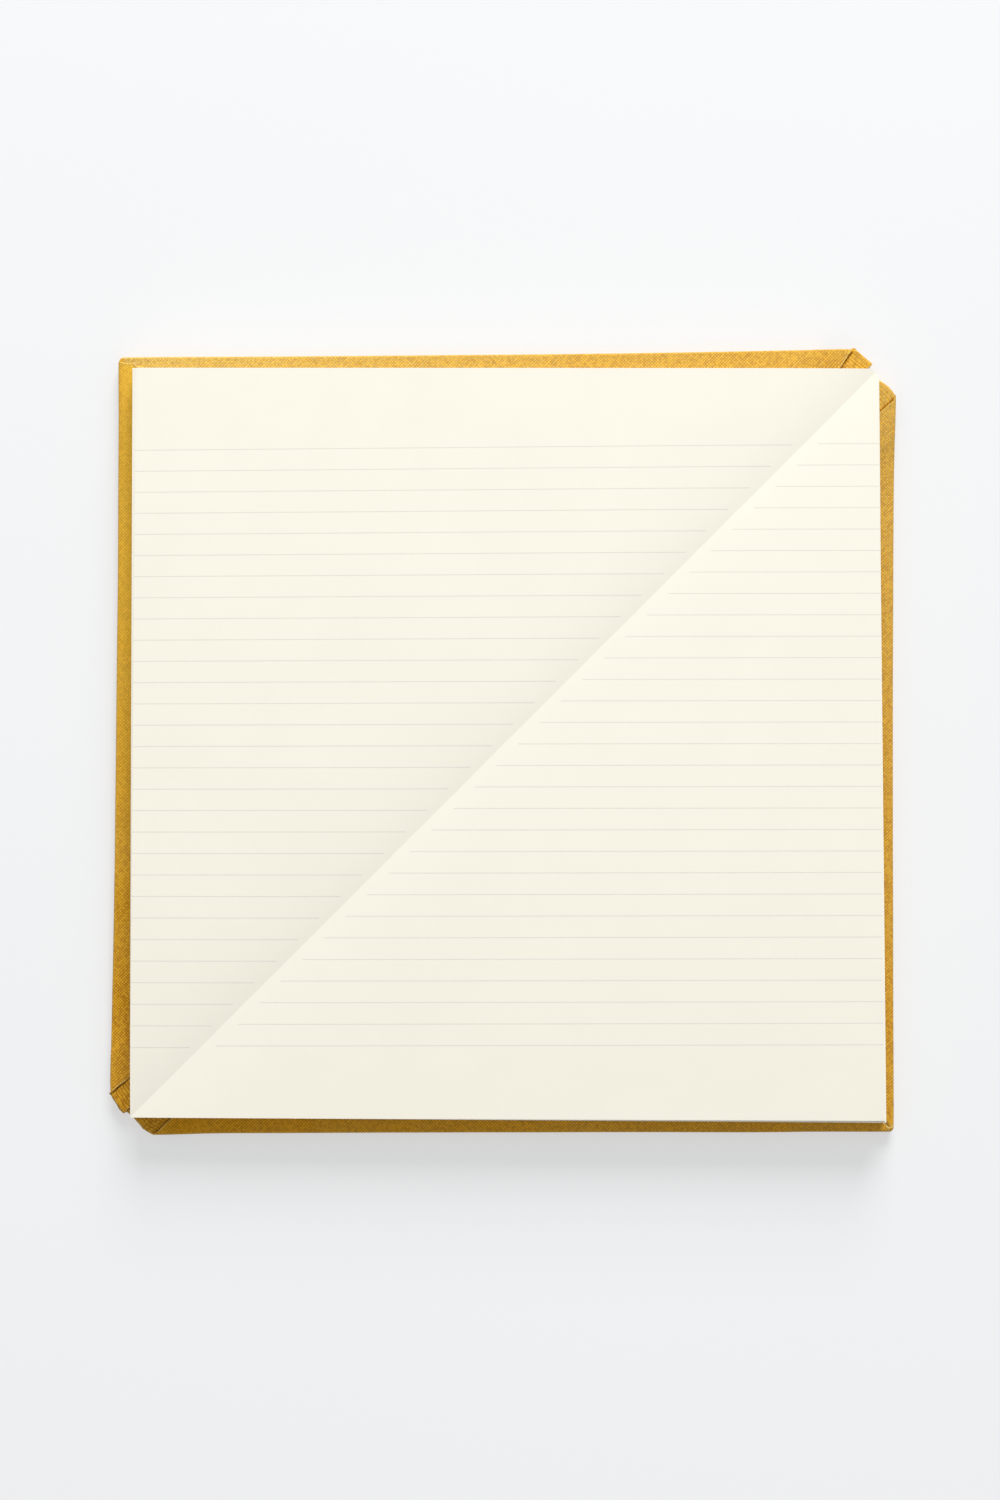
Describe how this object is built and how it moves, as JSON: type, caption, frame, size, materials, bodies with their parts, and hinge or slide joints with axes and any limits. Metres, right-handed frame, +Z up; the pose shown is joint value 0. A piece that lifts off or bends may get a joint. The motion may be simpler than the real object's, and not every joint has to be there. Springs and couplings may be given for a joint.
{
  "type": "triangular notebook",
  "caption": "Case-bound notebook with right-angled triangular leaves, lying open at its middle on cloth-covered boards that hinge on each side of the spine.",
  "frame": {"origin": "centre of the open notebook's footprint, on the surface it lies on", "axes": "+Z up through the open pages; +X and +Y along the short sides of the leaves, so that the spine runs along [1, 1, 0] and the left half lies towards -X +Y"},
  "size_m": [0.1798, 0.1798, 0.0095],
  "materials": {
    "leaf_paper": "uncoated cream writing paper, faintly ruled",
    "endpaper": "uncoated cream paper",
    "book_cloth": "mustard plain-weave book cloth",
    "greyboard": "grey binder's board",
    "lining_gauze": "open cotton gauze set in glue",
    "thread": "waxed linen thread"
  },
  "bodies": {
    "book_block": {"text_block": "leaf_paper", "sewing_thread": "thread", "spine_lining": "lining_gauze", "left_flyleaf": "endpaper", "right_flyleaf": "endpaper", "spine_board": "greyboard", "spine_cloth": "book_cloth"},
    "left_cover": {"left_board": "greyboard", "left_cover_cloth": "book_cloth", "left_pastedown": "endpaper"},
    "right_cover": {"right_board": "greyboard", "right_cover_cloth": "book_cloth", "right_pastedown": "endpaper"}
  },
  "joints": [
    {"name": "left_cover_hinge", "type": "hinge", "parent": "book_block", "child": "left_cover", "pos_m": [-0.00806, 0.00806, 0.0026], "axis": [-0.7071, -0.7071, 0], "range_deg": [0, 90]},
    {"name": "right_cover_hinge", "type": "hinge", "parent": "book_block", "child": "right_cover", "pos_m": [0.00806, -0.00806, 0.0026], "axis": [0.7071, 0.7071, 0], "range_deg": [0, 90]}
  ]
}
